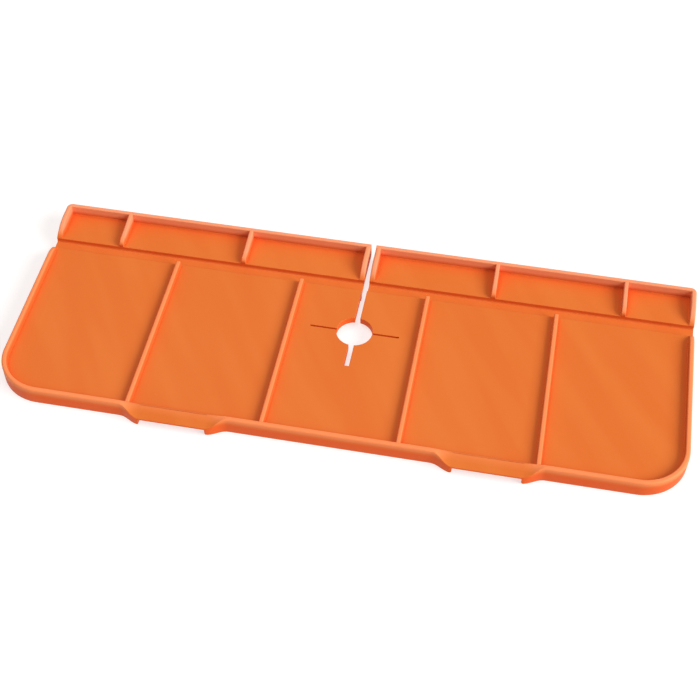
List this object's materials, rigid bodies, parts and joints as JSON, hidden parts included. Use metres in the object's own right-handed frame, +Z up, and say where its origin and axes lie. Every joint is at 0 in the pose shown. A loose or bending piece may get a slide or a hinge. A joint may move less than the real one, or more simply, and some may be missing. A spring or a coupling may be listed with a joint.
{
  "type": "tap splash guard",
  "caption": "Shallow silicone drip tray with a folding rear flap, a slit tap hole, drainage ribs and pouring spouts along its front edge.",
  "frame": {"origin": "middle of the footprint, on the worktop that the tray stands on", "axes": "+X to the right along the width, +Y towards the wall behind the tap, +Z up"},
  "size_m": [0.37, 0.1424, 0.0129],
  "materials": {
    "silicone": "moulded satin silicone"
  },
  "bodies": {
    "tray": {"end_floor_left": "silicone", "bay_floor_left": "silicone", "centre_floor": "silicone", "bay_floor_right": "silicone", "end_floor_right": "silicone", "side_wall_left": "silicone", "side_wall_right": "silicone", "corner_wall_left": "silicone", "corner_wall_right": "silicone", "front_wall_left": "silicone", "front_wall_centre": "silicone", "front_wall_right": "silicone", "rear_foot_left": "silicone", "rear_foot_right": "silicone", "tray_rib_1": "silicone", "tray_rib_2": "silicone", "tray_rib_3": "silicone", "tray_rib_4": "silicone", "spout_lip_left": "silicone", "spout_cheek_outer_left": "silicone", "spout_cheek_inner_left": "silicone", "spout_lip_right": "silicone", "spout_cheek_outer_right": "silicone", "spout_cheek_inner_right": "silicone", "fold_web_left": "silicone", "fold_web_right": "silicone"},
    "left_flap": {"flap_panel_left": "silicone", "flap_back_wall_left": "silicone", "flap_end_wall_left": "silicone", "flap_slit_wall_left": "silicone", "flap_inner_rib_left": "silicone", "flap_outer_rib_left": "silicone"},
    "right_flap": {"flap_panel_right": "silicone", "flap_back_wall_right": "silicone", "flap_end_wall_right": "silicone", "flap_slit_wall_right": "silicone", "flap_inner_rib_right": "silicone", "flap_outer_rib_right": "silicone"},
    "front_left_lobe": {"lobe_front_left": "silicone"},
    "front_right_lobe": {"lobe_front_right": "silicone"},
    "rear_left_lobe": {"lobe_rear_left": "silicone"},
    "rear_right_lobe": {"lobe_rear_right": "silicone"}
  },
  "joints": [
    {"name": "left_flap_fold", "type": "hinge", "parent": "tray", "child": "left_flap", "pos_m": [-0.09325, 0.04345, 0.00355], "axis": [1, 0, 0], "range_deg": [0, 90], "stiffness_Nm_per_rad": 0.02, "deforming": ["fold_web_left"]},
    {"name": "right_flap_fold", "type": "hinge", "parent": "tray", "child": "right_flap", "pos_m": [0.09325, 0.04345, 0.00355], "axis": [1, 0, 0], "range_deg": [0, 90], "stiffness_Nm_per_rad": 0.02, "deforming": ["fold_web_right"]},
    {"name": "front_left_lobe_lift", "type": "hinge", "parent": "tray", "child": "front_left_lobe", "pos_m": [-0.0125, -0.00405, 0.0029], "axis": [0.7071, -0.7071, 0], "range_deg": [0, 30], "stiffness_Nm_per_rad": 0.05},
    {"name": "front_right_lobe_lift", "type": "hinge", "parent": "tray", "child": "front_right_lobe", "pos_m": [0.0125, -0.00405, 0.0029], "axis": [0.7071, 0.7071, 0], "range_deg": [0, 30], "stiffness_Nm_per_rad": 0.05},
    {"name": "rear_left_lobe_lift", "type": "hinge", "parent": "tray", "child": "rear_left_lobe", "pos_m": [-0.0125, 0.02095, 0.0029], "axis": [-0.7071, -0.7071, 0], "range_deg": [0, 30], "stiffness_Nm_per_rad": 0.05},
    {"name": "rear_right_lobe_lift", "type": "hinge", "parent": "tray", "child": "rear_right_lobe", "pos_m": [0.0125, 0.02095, 0.0029], "axis": [-0.7071, 0.7071, 0], "range_deg": [0, 30], "stiffness_Nm_per_rad": 0.05}
  ]
}
